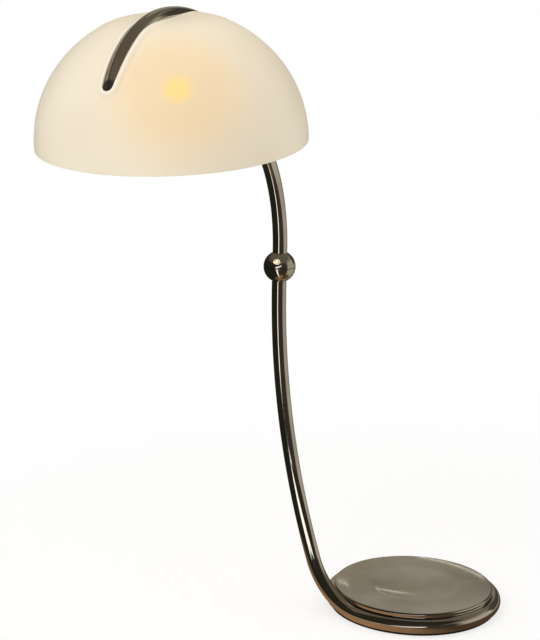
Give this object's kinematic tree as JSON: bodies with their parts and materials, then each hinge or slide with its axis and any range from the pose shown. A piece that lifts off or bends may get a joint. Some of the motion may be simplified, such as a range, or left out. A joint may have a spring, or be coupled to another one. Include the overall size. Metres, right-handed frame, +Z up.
{
  "type": "floor lamp",
  "caption": "Floor lamp: a bent chrome tube makes ring foot and stem, a split ball swivels the arched arm, and an opal dome hangs on the arm by a moulded groove.",
  "frame": {"origin": "on the floor at the centre of the round foot, on the underside of the floor pad", "axes": "+Z up; -Y is the front, towards the viewer of the picture; +X to the viewer's right"},
  "size_m": [0.8929, 0.811, 1.2461],
  "materials": {
    "tube_chrome": "polished chrome plate with a warm brown tone",
    "cover_chrome": "polished chrome plate on spun sheet, faint turning lines",
    "ball_chrome": "polished chrome plate",
    "ballast_iron": "as cast, painted dark grey",
    "pad_rubber": "matt black, fine grain",
    "fixing_steel": "zinc-plated steel",
    "black_plastic": "dark brown-black, fine grain",
    "nylon": "natural nylon",
    "lead_sheath": "smooth black sheath",
    "opal_acrylic": "opal, glossy, glowing warm from inside",
    "brass_fitting": "turned brass",
    "holder_plastic": "ivory moulded plastic",
    "cap_aluminium": "pressed aluminium",
    "bulb_glass": "frosted warm white, lit"
  },
  "bodies": {
    "stand": {"floor_pad": "pad_rubber", "ballast": "ballast_iron", "ring_clips": "fixing_steel", "clip_screws": "fixing_steel", "base_cover": "cover_chrome", "cover_stud": "fixing_steel", "stud_washer": "fixing_steel", "stud_nut": "fixing_steel", "stem_tube": "tube_chrome", "cord_gland": "black_plastic", "stem_lead": "lead_sheath", "lower_ball_half": "ball_chrome", "friction_washer": "nylon"},
    "arm": {"swivel_bolt": "fixing_steel", "spring_washer": "fixing_steel", "swivel_nut": "fixing_steel", "stop_pin": "fixing_steel", "upper_ball_half": "ball_chrome", "arm_tube": "tube_chrome", "arm_end_cap": "black_plastic", "arm_lead": "lead_sheath", "shade": "opal_acrylic", "nipple_boss": "fixing_steel", "nipple": "brass_fitting", "shade_saddle": "black_plastic", "shade_washer": "fixing_steel", "shade_locknut": "brass_fitting", "lamp_lead": "lead_sheath", "holder_cap": "holder_plastic", "holder_body": "holder_plastic", "screw_shell": "brass_fitting", "centre_contact": "brass_fitting", "bulb_cap": "cap_aluminium", "bulb_glass": "bulb_glass"}
  },
  "joints": [
    {"name": "arm_swivel", "type": "hinge", "parent": "stand", "child": "arm", "pos_m": [-0.30102, 0.03327, 0.70241], "axis": [0, 0, 1], "range_deg": [-170, 170]}
  ]
}
